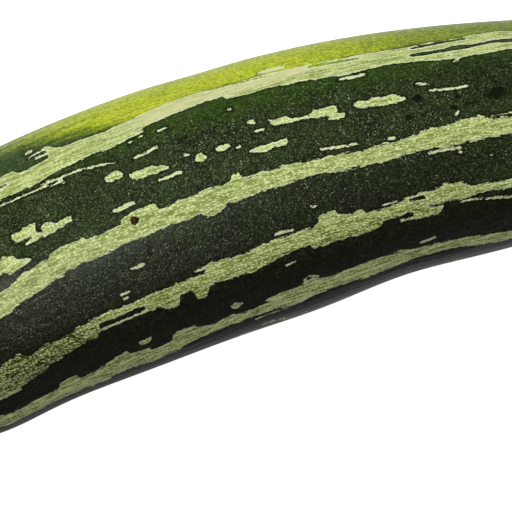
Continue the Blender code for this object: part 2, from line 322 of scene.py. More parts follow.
# Marks, in mm: the depth given to points far off, how far round a mark depths are worked out, and the half
# width from which its edge is fully torn, with the least share of that for thinner marks
FAR_OUTSIDE = -9.0
MARK_MARGIN = 4
FULLY_TORN = 1.3
LEAST_TORN = 0.25

# How far the dry skin reaches from the stem's seat, in mm
CRUST_WIDTH = 0.7

# Seeded marks: where between the stripes short dashes lie, in degrees, and how many in each place, then
# how often a stripe's edge steps in or out, and in degrees by how much and its least width
MARK_SEED = 41
HIDDEN_GAPS = (117, 145, 173, 201, 229, 257, 285, 88)
HIDDEN_DASHES = 13
SEEN_GAPS = (75, 26, -13, -44)
SEEN_DASHES = 9
NOTCH_CHANCE = 0.16
NOTCH_STEPS = (-1.8, 2.6)
LEAST_STRIPE = 2.6

# Dark smudges on the skin: station in mm, angle, length in mm, spread in mm
SMUDGES = (
    (154.8, 18.8, 2.1, 1.3), (139.4, 22.4, 1.0, 1.1), (147.3, 20, 0.7, 0.5), (137, 14, 0.8, 0.5),
    (80.6, -10.4, 0.5, 0.9), (150, 15.6, 1.8, 0.3), (146, 14.4, 0.8, 0.5),
)


def linear(red, green, blue):
    """A colour given as 0 to 255 display values, as the linear values that shaders take."""
    values = []
    for value in (red, green, blue):
        share = value / 255
        values.append(share / 12.92 if share <= 0.04045 else ((share + 0.055) / 1.055) ** 2.4)
    return tuple(values)


def smoothstep(share):
    """0 below 0, 1 above 1, and an even S between."""
    share = np.clip(share, 0, 1)
    return share * share * (3 - 2 * share)


def body_radius(station):
    """The fruit's plain radius, before its ends are rounded."""
    past = np.asarray(station, float) - BELLY_STATION
    blossom = BELLY_RADIUS - BLOSSOM_NARROWING * (past / BELLY_STATION) ** 2
    neck = BELLY_RADIUS - NECK_NARROWING * (1 - np.cos(np.pi * past / NECK_REACH)) / 2
    return np.where(past < 0, blossom, neck)


def round_end(distance, length, power):
    """A rounded end's share of the full radius, from 0 at the tip to 1 at its length."""
    share = np.clip(1 - distance / length, 0, 1)
    return (1 - share**power) ** (1 / power)


def outline_radius(station):
    """The fruit's radius with both ends rounded, before ribs and swells."""
    shoulder = round_end(FRUIT_LENGTH - station, SHOULDER_LENGTH, SHOULDER_POWER)
    blossom = round_end(station, BLOSSOM_CAP, BLOSSOM_POWER)
    return (SEAT_RADIUS + (body_radius(station) - SEAT_RADIUS) * shoulder) * blossom


def axis_height(station):
    """The axis sags with the taper, so that the underside lies along the table."""
    return body_radius(station) + RIB_HEIGHT * math.cos(RIB_COUNT * (math.pi - RIB_ANGLE)) - FLAT_DEPTH


def axis_frame(station):
    """The axis at each station, with the directions up, out of the bend and along it."""
    station = np.atleast_1d(np.asarray(station, float))
    turn = (station - FRUIT_LENGTH / 2) / BEND_RADIUS
    flat = np.zeros_like(turn)
    outward = np.stack([np.sin(turn), np.cos(turn), flat], 1)
    along = np.stack([np.cos(turn), -np.sin(turn), flat], 1)
    upward = np.stack([flat, flat, flat + 1], 1)
    centre = BEND_RADIUS * outward - np.array([MIDDLE_ALONG, BEND_RADIUS + MIDDLE_OUT, 0])
    centre[:, 2] = axis_height(station)
    return centre, upward, outward, along


def scar_shift(radius):
    """How far the blossom end is pushed in, or out at the scar's rim, at a distance from its middle."""
    pit = SCAR_DEPTH * (1 - smoothstep(radius / SCAR_RADIUS))
    rim = SCAR_RIM * np.exp(-(((radius - SCAR_RADIUS) / SCAR_RIM_WIDTH) ** 2))
    return pit - rim


def swell_height(station, angle):
    """How far the gentle swells lift the skin, at stations in metres and angles in degrees."""
    total = np.zeros_like(station)
    for middle, facing, height, length, spread in SWELLS:
        turn = (angle - facing + 180) % 360 - 180
        total += height * np.exp(-(((station - middle) / length) ** 2) - (turn / spread) ** 2)
    return total


def skin_frame(station_mm, angle):
    """A point on the skin with its outward normal and the directions along the fruit and round it."""
    station = station_mm * MM
    centre, upward, outward, along = (Vector(row[0]) for row in axis_frame(station))
    turn = math.radians(angle)
    normal = upward * math.cos(turn) + outward * math.sin(turn)
    around = outward * math.cos(turn) - upward * math.sin(turn)
    rib = RIB_HEIGHT * math.cos(RIB_COUNT * (turn - RIB_ANGLE))
    swell = swell_height(np.array([station]), np.array([angle]))[0]
    radius = float(outline_radius(np.array([station]))[0]) + rib + swell
    return centre + normal * radius, normal, along, around


def unbend(points):
    """The station in metres and the angle in degrees of points near the fruit."""
    x = points[:, 0] + MIDDLE_ALONG
    y = points[:, 1] + BEND_RADIUS + MIDDLE_OUT
    station = np.arctan2(x, y) * BEND_RADIUS + FRUIT_LENGTH / 2
    outward = np.hypot(x, y) - BEND_RADIUS
    upward = points[:, 2] - axis_height(station)
    return station, np.degrees(np.arctan2(outward, upward))


class NodeDesk:
    """Adds nodes to one tree and wires them. A value may be a plain one or another node's socket."""

    def __init__(self, tree):
        self.tree = tree

    def add(self, kind, inputs=None, **settings):
        node = self.tree.nodes.new(kind)
        for name, value in settings.items():
            setattr(node, name, value)
        for key, value in (inputs or {}).items():
            self.feed(node.inputs[key], value)
        return node

    def feed(self, socket, value):
        if isinstance(value, bpy.types.NodeSocket):
            self.tree.links.new(value, socket)
        else:
            socket.default_value = (*value, 1) if isinstance(value, Color) else value

    def placed(self, group, *values):
        """A group's outputs, with its inputs fed in their order."""
        node = self.add("ShaderNodeGroup", node_tree=node_group(group))
        for socket, value in zip(node.inputs, values):
            self.feed(socket, value)
        return node.outputs

    def math(self, operation, *values, clamp=False):
        inputs = dict(enumerate(values))
        return self.add("ShaderNodeMath", inputs, operation=operation, use_clamp=clamp).outputs[0]

    def plus(self, first, second):
        return self.math("ADD", first, second)

    def less(self, first, second, clamp=False):
        return self.math("SUBTRACT", first, second, clamp=clamp)

    def times(self, first, second):
        return self.math("MULTIPLY", first, second)

    def times_plus(self, first, second, third, clamp=False):
        return self.math("MULTIPLY_ADD", first, second, third, clamp=clamp)

    def sway(self, value, amount, base=0.0, clamp=False):
        """The base, raised and lowered by a value that lies around a half."""
        return self.times_plus(self.less(value, 0.5), amount, base, clamp)

    def vector(self, operation, *values):
        inputs = dict(enumerate(values))
        return self.add("ShaderNodeVectorMath", inputs, operation=operation).outputs["Vector"]

    def scaled(self, vector, by):
        inputs = {0: vector, "Scale": by}
        return self.add("ShaderNodeVectorMath", inputs, operation="SCALE").outputs["Vector"]

    def drawn(self, vector, along, across):
        """A place with its X scaled by one amount, and its Y and Z by another."""
        return self.vector("MULTIPLY", vector, (along, across, across))

    def axis(self, vector, name):
        return self.add("ShaderNodeSeparateXYZ", {0: vector}).outputs[name]

    def object_place(self):
        return self.add("ShaderNodeTexCoord").outputs["Object"]

    def span(self, value, low, high, start=0.0, end=1.0):
        """start below low, end above high, and an even S between."""
        inputs = {"Value": value, "From Min": low, "From Max": high, "To Min": start, "To Max": end}
        return self.add("ShaderNodeMapRange", inputs, interpolation_type="SMOOTHSTEP").outputs["Result"]

    def mix(self, factor, first, second):
        """The first colour where the factor is 0, and the second where it is 1."""
        inputs = {0: factor, 6: first, 7: second}
        return self.add("ShaderNodeMix", inputs, data_type="RGBA", clamp_factor=True).outputs[2]

    def noise(self, vector, scale, detail=2.0, roughness=0.5):
        inputs = {"Vector": vector, "Scale": scale, "Detail": detail, "Roughness": roughness}
        return self.add("ShaderNodeTexNoise", inputs).outputs["Fac"]

    def cells(self, vector, scale=1.0, randomness=1.0):
        """The distance from the nearest cell's middle, and the cell's own random colour."""
        inputs = {"Vector": vector, "Scale": scale, "Randomness": randomness}
        made = self.add("ShaderNodeTexVoronoi", inputs).outputs
        return made["Distance"], made["Color"]

    def channel(self, colour, name):
        return self.add("ShaderNodeSeparateColor", {0: colour}).outputs[name]

    def attribute(self, name, output="Fac"):
        return self.add("ShaderNodeAttribute", attribute_name=name).outputs[output]


def fill_specks(desk, start, end):
    """Round specks of mixed sizes: one in each cell, some of them too small to show."""
    distance, colour = desk.cells(start["Vector"], start["Density"])
    radius = desk.times(desk.math("POWER", desk.channel(colour, "Red"), 1.7), start["Largest"])
    inside = desk.less(radius, distance)
    desk.feed(end["Mask"], desk.math("DIVIDE", inside, start["Softness"], clamp=True))
    desk.feed(end["Shade"], desk.channel(colour, "Green"))


def fill_fibres(desk, start, end):
    """Long soft streaks along X, with finer ones on them."""
    share = desk.math("DIVIDE", 1.0, start["Stretch"])
    squeeze = desk.add("ShaderNodeCombineXYZ", {"X": share, "Y": 1.0, "Z": 1.0}).outputs[0]
    drawn = desk.vector("MULTIPLY", start["Vector"], squeeze)
    desk.feed(end["Streaks"], desk.noise(drawn, start["Across"], detail=3.0))
    desk.feed(end["Fine"], desk.noise(drawn, desk.times(start["Across"], 3.1)))


def fill_wax(desk, start, end):
    """The skin's waxy surface: shallow dimples and a finer grain, as a height and a roughness."""
    dimples = desk.noise(start["Vector"], start["Dimple Scale"], detail=1.5)
    grain = desk.noise(start["Vector"], start["Grain Scale"], roughness=0.6)
    desk.feed(end["Height"], desk.plus(desk.times(dimples, 0.6), desk.times(grain, 0.4)))
    desk.feed(end["Roughness"], desk.sway(grain, start["Variation"], start["Roughness"], clamp=True))


def finish_geometry(desk, geometry, start, end):
    """Ends a geometry group: plain faces, shaded smooth, in the material that it is given."""
    real = desk.add("GeometryNodeRealizeInstances", {"Geometry": geometry}).outputs[0]
    smooth = desk.add("GeometryNodeSetShadeSmooth", {"Geometry": real}).outputs[0]
    inputs = {"Geometry": smooth, "Material": start["Material"]}
    desk.feed(end["Geometry"], desk.add("GeometryNodeSetMaterial", inputs).outputs[0])


def fill_sweep(desk, start, end):
    """Skins a row of rings: each point of the input holds a ring's middle, size and directions."""
    size = desk.add("GeometryNodeAttributeDomainSize", {"Geometry": start["Geometry"]})
    columns = desk.plus(start["Segments"], 1.0)
    inputs = {"Vertices X": size.outputs["Point Count"], "Vertices Y": columns}
    grid = desk.add("GeometryNodeMeshGrid", inputs).outputs["Mesh"]
    index = desk.add("GeometryNodeInputIndex").outputs[0]
    ring = desk.math("FLOOR", desk.math("DIVIDE", desk.plus(index, 0.5), columns))
    column = desk.less(index, desk.times(ring, columns))
    even = desk.times(desk.math("DIVIDE", column, start["Segments"]), math.tau)
    angle = desk.less(even, desk.times(desk.math("SINE", even), start["Crowding"]))

    def ring_value(label, kind="FLOAT"):
        named = desk.add("GeometryNodeInputNamedAttribute", {"Name": label}, data_type=kind).outputs[0]
        inputs = {"Geometry": start["Geometry"], "Value": named, "Index": ring}
        return desk.add("GeometryNodeSampleIndex", inputs, data_type=kind).outputs[0]

    past = desk.less(angle, start["Rib Angle"])
    radius = ring_value("radius")
    for label, count in (("rib", "Rib Count"), ("lobe", "Lobe Count")):
        wave = desk.math("COSINE", desk.times(past, start[count]))
        radius = desk.times_plus(ring_value(label), wave, radius)
    upright = desk.times(radius, desk.math("COSINE", angle))
    sideways = desk.times(radius, desk.math("SINE", angle))
    slant = desk.times(upright, ring_value("slant"))
    place = ring_value("position", "FLOAT_VECTOR")
    for label, amount in (("upward", upright), ("outward", sideways), ("onward", slant)):
        place = desk.vector("ADD", place, desk.scaled(ring_value(label, "FLOAT_VECTOR"), amount))
    skin = desk.add("GeometryNodeSetPosition", {"Geometry": grid, "Position": place}).outputs[0]
    inputs = {"Geometry": skin, "Distance": SEAM_GAP}
    finish_geometry(desk, desk.add("GeometryNodeMergeByDistance", inputs).outputs[0], start, end)


def fill_bristles(desk, start, end):
    """Scatters short tapered bristles over the input's hairy faces, leaning along their normals."""
    hairy = desk.add("GeometryNodeInputNamedAttribute", {"Name": "hairy"}, data_type="FLOAT").outputs[0]
    density = desk.times(hairy, start["Density"])
    inputs = {"Mesh": start["Geometry"], "Density": density, "Seed": start["Seed"]}
    points = desk.add("GeometryNodeDistributePointsOnFaces", inputs).outputs
    inputs = {"Vertices": 5, "Radius Top": BRISTLE_TIP}
    inputs.update({"Radius Bottom": start["Thickness"], "Depth": start["Length"]})
    bristle = desk.add("GeometryNodeMeshCone", inputs).outputs["Mesh"]

    def scatter(low, high, offset):
        inputs = {0: low, 1: high, "Seed": desk.plus(start["Seed"], offset)}
        return desk.add("FunctionNodeRandomValue", inputs, data_type="FLOAT_VECTOR").outputs[0]

    tilt = desk.scaled(scatter((-1, -1, -1), (1, 1, 1), 1), start["Lean"])
    facing = desk.vector("ADD", points["Normal"], tilt)
    turned = desk.add("FunctionNodeAlignEulerToVector", {"Vector": facing}, axis="Z").outputs[0]
    size = scatter((0.7, 0.7, 0.5), (1.1, 1.1, 1.3), 2)
    inputs = {"Points": points["Points"], "Instance": bristle, "Rotation": turned, "Scale": size}
    finish_geometry(desk, desk.add("GeometryNodeInstanceOnPoints", inputs).outputs[0], start, end)


# Each group: the kind of its tree, what fills it, its inputs with their defaults, and its outputs
NODE_GROUPS = {
    "Fine Specks": (
        "ShaderNodeTree",
        fill_specks,
        (
            ("Vector", "Vector"),
            ("Density", "Float", 1.0),
            ("Largest", "Float", 0.3),
            ("Softness", "Float", 0.1),
        ),
        (("Mask", "Float"), ("Shade", "Float")),
    ),
    "Long Fibres": (
        "ShaderNodeTree",
        fill_fibres,
        (("Vector", "Vector"), ("Across", "Float", 1.0), ("Stretch", "Float", 8.0)),
        (("Streaks", "Float"), ("Fine", "Float")),
    ),
    "Waxy Surface": (
        "ShaderNodeTree",
        fill_wax,
        (
            ("Vector", "Vector"),
            ("Dimple Scale", "Float", 0.8),
            ("Grain Scale", "Float", 3.0),
            ("Roughness", "Float", 0.4),
            ("Variation", "Float", 0.1),
        ),
        (("Height", "Float"), ("Roughness", "Float")),
    ),
    "Ribbed Sweep": (
        "GeometryNodeTree",
        fill_sweep,
        (
            ("Geometry", "Geometry"),
            ("Segments", "Int", 64),
            ("Crowding", "Float", 0.0),
            ("Rib Count", "Int", 10),
            ("Lobe Count", "Int", 5),
            ("Rib Angle", "Float", 0.0),
            ("Material", "Material"),
        ),
        (("Geometry", "Geometry"),),
    ),
    "Stem Bristles": (
        "GeometryNodeTree",
        fill_bristles,
        (
            ("Geometry", "Geometry"),
            ("Density", "Float", 300000.0),
            ("Length", "Float", 0.0009),
            ("Thickness", "Float", 0.00008),
            ("Lean", "Float", 0.5),
            ("Seed", "Int", 7),
            ("Material", "Material"),
        ),
        (("Geometry", "Geometry"),),
    ),
}


def node_group(name):
    """The node group of this name, made at its first use."""
    if name in bpy.data.node_groups:
        return bpy.data.node_groups[name]
    tree_kind, fill, inputs, outputs = NODE_GROUPS[name]
    tree = bpy.data.node_groups.new(name, tree_kind)
    for label, kind, *default in inputs:
        socket = tree.interface.new_socket(label, in_out="INPUT", socket_type="NodeSocket" + kind)
        if default:
            socket.default_value = default[0]
    for label, kind in outputs:
        tree.interface.new_socket(label, in_out="OUTPUT", socket_type="NodeSocket" + kind)
    start = tree.nodes.new("NodeGroupInput").outputs
    end = tree.nodes.new("NodeGroupOutput").inputs
    fill(NodeDesk(tree), start, end)
    return tree


def new_material(name, values):
    """A material with these values in its Principled BSDF, a desk for its nodes and the shader's inputs."""
    material = bpy.data.materials.new(name)
    material.use_nodes = True
    desk = NodeDesk(material.node_tree)
    shader = material.node_tree.nodes["Principled BSDF"].inputs
    for key, value in values.items():
        desk.feed(shader[key], value)
    return material, desk, shader


def add_bump(desk, shader, height, depth):
    bump = desk.add("ShaderNodeBump", {"Distance": depth, "Height": height})
    desk.feed(shader["Normal"], bump.outputs["Normal"])


def torn_edge(desk, straight, distance):
    """Breaks a smooth edge up into short steps along the fruit, as where a stripe's cells stop."""
    step = 0.0
    for along, across, channel, size in ((0.5, 1.9, "Red", 0.42), (1.3, 3.8, "Green", 0.36)):
        _, cell = desk.cells(desk.drawn(straight, along, across))
        step = desk.sway(desk.channel(cell, channel), size, step)
    step = desk.sway(desk.noise(straight, 0.9), 0.3, step)
    _, cell = desk.cells(desk.drawn(straight, 2.4, 5.5))
    distance = desk.sway(desk.channel(cell, "Blue"), 0.22, distance)
    return desk.times_plus(step, desk.attribute("tear"), distance)


def stripe_colour(desk, straight, edge, colours):
    """The pale stripes: rows of pale dots on olive, a paler edge, and dark dapples in places."""
    near, _ = desk.cells(desk.drawn(straight, 1.25, 3.3), randomness=0.75)
    dots = desk.span(near, 0.16, 0.56, 1.0, 0.0)
    streaks = desk.span(desk.placed("Long Fibres", straight, 1.9, 6.5)["Streaks"], 0.36, 0.66)
    outer = desk.axis(straight, "Z")
    dotted = desk.span(outer, 12.0, 16.0, 0.8, 0.45)
    drawn_out = desk.span(outer, -22.0, -18.0, 0.8, 0.4)
    share = desk.times_plus(streaks, drawn_out, desk.span(outer, 12.0, 16.0, 0.1, 0.12))
    share = desk.times_plus(dots, dotted, share)
    share = desk.less(share, desk.span(outer, -16.0, -6.0, 0.1, 0.0))
    blotches = desk.noise(desk.drawn(straight, 0.35, 0.7), 1.0)
    dapple = desk.times(desk.span(blotches, 0.3, 0.6, 0.45, 1.0), desk.attribute("dapple"))
    share = desk.less(share, desk.times(dapple, 0.2), clamp=True)
    ground = desk.mix(dapple, colours.stripe_olive, colours.dapple)
    colour = desk.mix(share, ground, colours.stripe_pale)
    beige = desk.times(desk.attribute("beige"), desk.times_plus(streaks, 0.35, 0.55))
    colour = desk.mix(beige, colour, colours.stripe_beige)
    thin = desk.times_plus(desk.attribute("tear"), -0.6, 1.05)
    thin = desk.times_plus(desk.attribute("dapple"), -0.4, thin, clamp=True)
    rim = desk.times(desk.span(edge, 0.05, 0.45, 1.0, 0.0), thin)
    return desk.mix(rim, colour, colours.stripe_rim), dots


def dark_colour(desk, straight, edge, colours):
    """The dark skin: deep green, lighter on the upper side as painted light and darker below as painted
    shade, greener towards the bend's outside, under grey-green specks that are partly painted glints.
    """
    # This attribute is the painted light: 1 on the lit upper side and 0 on the lower side, which is left in
    # painted shade
    bright = desk.attribute("bright")
    lit_share = desk.times(desk.span(desk.noise(straight, 0.12), 0.25, 0.7), bright)
    # Lit and shaded copies of one green: the deep green gives painted shade below and random darker tone
    # above, the dark green the painted light above
    colour = desk.mix(lit_share, colours.deep_and_shaded_green, colours.lit_dark_green)
    patches = desk.noise(straight, 0.55, detail=3.0, roughness=0.6)
    leafy = desk.times_plus(desk.attribute("leafy"), 0.5, patches)
    colour = desk.mix(desk.span(leafy, 0.5, 1.0), colour, colours.leaf_green)
    coarse = desk.times(desk.noise(straight, 1.3, roughness=0.6), 0.25)
    both = desk.times_plus(desk.noise(straight, 3.6, detail=1.0), 0.75, coarse)
    # The lighter grain is stronger where the painted light is, and weaker in the painted shade below
    grain = desk.times(desk.span(both, 0.49, 0.66), desk.times_plus(bright, 0.5, 0.24))
    colour = desk.mix(grain, colour, colours.grain)
    # The specks are partly lenticels and partly painted glints, shown most where the painted light is
    strength = desk.span(bright, 0.0, 0.22, 0.3, 1.0)
    clusters = desk.span(desk.noise(straight, 0.3), 0.36, 0.62, 0.25, 1.0)
    for density, largest, weight in ((1.2, 0.25, 0.5), (2.2, 0.36, 0.55), (3.3, 0.4, 0.8)):
        specks = desk.placed("Fine Specks", straight, density, largest, 0.09)
        shade = desk.times(desk.span(specks["Shade"], 0.1, 0.9, 0.2, 1.0), clusters)
        mask = desk.times(desk.times(specks["Mask"], shade), strength)
        colour = desk.mix(desk.times(mask, weight), colour, colours.speck_and_glint)
    smudge = desk.attribute("smudge")
    ragged = desk.times_plus(desk.less(patches, 0.45), 1.2, smudge)
    smudged = desk.times(desk.span(ragged, 0.2, 0.65), desk.span(smudge, 0.05, 0.3))
    beside = desk.times(desk.span(edge, -0.65, -0.1), 0.9)
    return desk.mix(desk.math("MAXIMUM", desk.times(smudged, 0.94), beside), colour, colours.smudge)


def lime_colour(desk, straight, edge, colour, colours):
    """The outside of the bend, where the dark green gives way to yellow up to a thin dark line."""
    fibres = desk.placed("Long Fibres", straight, 0.8, 8.0)
    fine = desk.noise(desk.drawn(straight, 0.55, 1.0), 2.6, roughness=0.6)
    station = desk.axis(straight, "X")
    streaks = desk.sway(fibres["Streaks"], desk.span(station, 84.0, 108.0, 1.0, 0.35))
    uneven = desk.sway(fine, 0.8, desk.times(streaks, 0.9))
    lime = desk.attribute("lime")
    amount = desk.times_plus(uneven, desk.span(lime, 0.0, 0.3), lime)
    shade = desk.times_plus(fine, 0.75, desk.times(fibres["Fine"], 0.25))
    grain = desk.span(shade, 0.32, 0.68)
    tint = desk.mix(grain, colours.lime_shade, colours.lime)
    tint = desk.mix(desk.times(desk.span(streaks, 0.02, 0.14), 0.35), tint, colours.lime_gold)
    green = desk.mix(grain, colours.lime_green, colours.lime_shade)
    colour = desk.mix(desk.span(amount, 0.03, 0.42), colour, green)
    colour = desk.mix(desk.span(amount, 0.3, 1.05), colour, tint)
    late = desk.times(desk.span(station, 122.0, 132.0), 0.85)
    early = desk.times(desk.span(station, 93.0, 97.0), desk.span(station, 111.0, 115.0, 0.6, 0.0))
    line = desk.times(desk.math("MAXIMUM", late, early), desk.span(edge, -0.55, -0.15))
    line = desk.times(line, desk.span(lime, 0.05, 0.3))
    return desk.mix(line, colour, colours.lime_line)


def skin_material(colours, finish):
    """The fruit's skin, painted from the attributes that say where its marks, its painted light and its
    painted shade lie.
    """
    values = {"Specular IOR Level": finish.skin_shine, "Coat Weight": 0.12, "Coat Roughness": 0.28}
    material, desk, shader = new_material("zucchini_skin", values)
    straight = desk.attribute("straight", "Vector")
    edge = torn_edge(desk, straight, desk.attribute("pale"))
    pale = desk.span(edge, -0.07, 0.07)
    stripe, dots = stripe_colour(desk, straight, edge, colours)
    dark = dark_colour(desk, straight, edge, colours)
    dark = lime_colour(desk, straight, edge, dark, colours)
    crust = desk.attribute("crust")
    desk.feed(shader["Base Color"], desk.mix(crust, desk.mix(pale, dark, stripe), colours.crust))
    surface = desk.placed("Waxy Surface", straight, 0.8, 2.4, finish.skin_roughness, 0.16)
    rough = desk.times_plus(pale, 0.06, surface["Roughness"])
    desk.feed(shader["Roughness"], desk.times_plus(crust, 0.3, rough, clamp=True))
    height = desk.times_plus(desk.times(dots, pale), 0.25, surface["Height"])
    furrows = desk.placed("Long Fibres", straight, 0.55, 9.0)["Streaks"]
    depth = desk.span(desk.axis(straight, "Z"), -25.0, -22.5, 1.5, 0.3)
    add_bump(desk, shader, desk.times_plus(furrows, depth, height), finish.skin_relief)
    return material


def stem_material(colours):
    """The stem: pale ribs, greener grooves, fine fibres and a pithy cut face."""
    material, desk, shader = new_material("zucchini_stem", {"Specular IOR Level": 0.35})
    straight = desk.attribute("straight", "Vector")
    fibres = desk.placed("Long Fibres", straight, 1.1, 14.0)
    streaks = desk.span(fibres["Streaks"], 0.35, 0.68)
    ridge = desk.times_plus(streaks, 0.45, desk.times(desk.attribute("ridge"), 0.6), clamp=True)
    colour = desk.mix(ridge, colours.stem_green, colours.stem_pale)
    specks = desk.placed("Fine Specks", straight, 1.1, 0.4, 0.12)["Mask"]
    colour = desk.mix(desk.times(specks, 0.55), colour, colours.stem_pale)
    dry = desk.times(desk.attribute("dry"), desk.span(fibres["Fine"], 0.25, 0.7))
    colour = desk.mix(dry, colour, colours.dry)
    pith = desk.attribute("pith")
    face = desk.attribute("face", "Vector")
    pores = desk.span(desk.noise(face, 2.2, detail=3.0, roughness=0.65), 0.35, 0.7)
    vessels = desk.placed("Fine Specks", face, 0.8, 0.5, 0.1)["Mask"]
    flesh = desk.mix(desk.span(pith, 0.45, 0.92), colours.pith, colours.stem_pale)
    flesh = desk.mix(desk.times(pores, 0.5), flesh, colours.stem_green)
    flesh = desk.mix(desk.times(vessels, desk.span(pith, 0.35, 0.7)), flesh, colours.dry)
    desk.feed(shader["Base Color"], desk.mix(desk.attribute("cut"), colour, flesh))
    surface = desk.placed("Waxy Surface", straight, 1.1, 4.0, 0.6, 0.2)
    desk.feed(shader["Roughness"], surface["Roughness"])
    add_bump(desk, shader, desk.times_plus(fibres["Fine"], 0.8, surface["Height"]), 0.00035)
    return material


def cork_material(name, dark, light):
    """Dry brown tissue, as on the blossom scar and a healed nick."""
    material, desk, shader = new_material(name, {})
    place = desk.scaled(desk.object_place(), 1 / MM)
    mottle = desk.noise(place, 1.6, detail=4.0, roughness=0.65)
    colour = desk.mix(desk.span(mottle, 0.4, 0.64), dark, light)
    specks = desk.placed("Fine Specks", place, 2.2, 0.4, 0.1)["Mask"]
    desk.feed(shader["Base Color"], desk.mix(desk.times(specks, 0.5), colour, dark))
    surface = desk.placed("Waxy Surface", place, 1.5, 5.0, 0.72, 0.2)
    desk.feed(shader["Roughness"], surface["Roughness"])
    add_bump(desk, shader, surface["Height"], 0.0004)
    return material


def bristle_material(colours):
    """Fine pale bristles, a little clearer than the stem that they stand on."""
    material, desk, shader = new_material("zucchini_bristle", {"Roughness": 0.45})
    shade = desk.noise(desk.scaled(desk.object_place(), 1 / MM), 0.7)
    desk.feed(shader["Base Color"], desk.mix(shade, colours.stem_pale, colours.pith))
    return material


def made_by_nodes(name, mesh, group, values):
    """Runs a geometry group on a mesh and returns an object with the plain mesh that comes out."""
    source = bpy.data.objects.new(name + "_rings", mesh)
    bpy.context.scene.collection.objects.link(source)
    modifier = source.modifiers.new(group, "NODES")
    modifier.node_group = node_group(group)
    for item in modifier.node_group.interface.items_tree:
        if item.item_type == "SOCKET" and item.in_out == "INPUT" and item.name in values:
            modifier[item.identifier] = values[item.name]
    graph = bpy.context.evaluated_depsgraph_get()
    result = bpy.data.meshes.new_from_object(source.evaluated_get(graph))
    result.name = name
    bpy.data.objects.remove(source)
    made = bpy.data.objects.new(name, result)
    bpy.context.scene.collection.objects.link(made)
    return made


def store(mesh, name, values):
    """Stores a number, or a row of three, on every vertex."""
    values = np.ascontiguousarray(values, np.float32)
    kind, field = ("FLOAT", "value") if values.ndim == 1 else ("FLOAT_VECTOR", "vector")
    mesh.attributes.new(name, kind, "POINT").data.foreach_set(field, values.ravel())


def vertex_array(mesh):
    points = np.zeros(len(mesh.vertices) * 3, np.float32)
    mesh.vertices.foreach_get("co", points)
    return points.reshape(-1, 3).astype(float)


def ring_mesh(name, centre, directions, **amounts):
    """A mesh of loose points, one a ring, with the values that the ribbed sweep reads."""
    mesh = bpy.data.meshes.new(name)
    mesh.from_pydata([tuple(row) for row in centre], [], [])
    for label, rows in zip(("upward", "outward", "onward"), directions):
        store(mesh, label, np.broadcast_to(rows, (len(centre), 3)))
    for label in ("radius", "rib", "lobe", "slant"):
        store(mesh, label, np.broadcast_to(amounts.get(label, 0.0), len(centre)))
    return mesh


def fruit_rings(sizes):
    """The stations of the fruit's rings: close together at both ends and where the torn stripes are drawn."""
    tip = END_REACH * np.linspace(0, 1, sizes.end_rings) ** 2
    fine_start, fine_stop = FINE_FROM * MM, FINE_TO * MM
    stretches = (
        (tip[-1], fine_start, sizes.plain_spacing),
        (fine_start, fine_stop, sizes.fine_spacing),
        (fine_stop, FRUIT_LENGTH - END_REACH, sizes.plain_spacing),
    )
    rows = [tip]
    for start, stop, spacing in stretches:
        steps = round((stop - start) / spacing)
        rows.append(np.linspace(start, stop, steps + 1)[1:])
    rows.append((FRUIT_LENGTH - tip[::-1])[1:])
    return np.concatenate(rows)


def fruit_ring_mesh(sizes):
    station = fruit_rings(sizes)
    radius = outline_radius(station)
    share = np.minimum(radius / BELLY_RADIUS, 1)
    fade = smoothstep(1 - (FRUIT_LENGTH - station) / LOBE_FADE)
    shifted = station + scar_shift(radius) * smoothstep(1 - station / BLOSSOM_CAP)
    shifted[-1] -= SEAT_DISH
    radius[-1] = share[-1] = 0.0
    centre, *directions = axis_frame(shifted)
    waves = {"rib": RIB_HEIGHT * share, "lobe": LOBE_HEIGHT * fade * share}
    return ring_mesh("fruit_rings", centre, directions, radius=radius, **waves)


def press_swells(mesh):
    """Lifts the skin along its own radius by the swells, and levels the underside at the table."""
    points = vertex_array(mesh)
    station, angle = unbend(points)
    _, upward, outward, _ = axis_frame(station)
    turn = np.radians(angle)[:, None]
    share = np.minimum(outline_radius(np.clip(station, 0, FRUIT_LENGTH)) / BELLY_RADIUS, 1)
    lift = swell_height(station, angle) * share
    points += lift[:, None] * (np.cos(turn) * upward + np.sin(turn) * outward)
    points[:, 2] = np.maximum(points[:, 2], 0.0)
    mesh.vertices.foreach_set("co", points.astype(np.float32).ravel())
    mesh.update()


def degree_length(station):
    """How many mm of skin a degree spans round the fruit, at stations in mm."""
    return body_radius(station * MM) / MM * math.pi / 180


def mark_distance(station, angle, foot, top):
    """How deep each point lies inside a mark, in mm and negative outside, and how torn its edge is there.

    The edges are lines of (station, angle). Thin marks have the smoother edges.
    """
    foot, top = np.array(foot, float), np.array(top, float)
    start, stop = max(foot[0, 0], top[0, 0]), min(foot[-1, 0], top[-1, 0])
    depth = np.full(len(station), FAR_OUTSIDE)
    torn = np.ones(len(station))
    near = np.flatnonzero((station > start - MARK_MARGIN) & (station < stop + MARK_MARGIN))
    at = station[near]
    low = np.interp(at, foot[:, 0], foot[:, 1])
    high = np.interp(at, top[:, 0], top[:, 1])
    off = (angle[near] - (low + high) / 2 + 180) % 360 - 180
    degree = degree_length(at)
    half = (high - low) / 2 * degree
    sides = half - np.abs(off) * degree
    depth[near] = np.minimum(sides, np.minimum(at - start, stop - at))
    torn[near] = np.clip(half / FULLY_TORN, LEAST_TORN, 1)
    return depth, torn


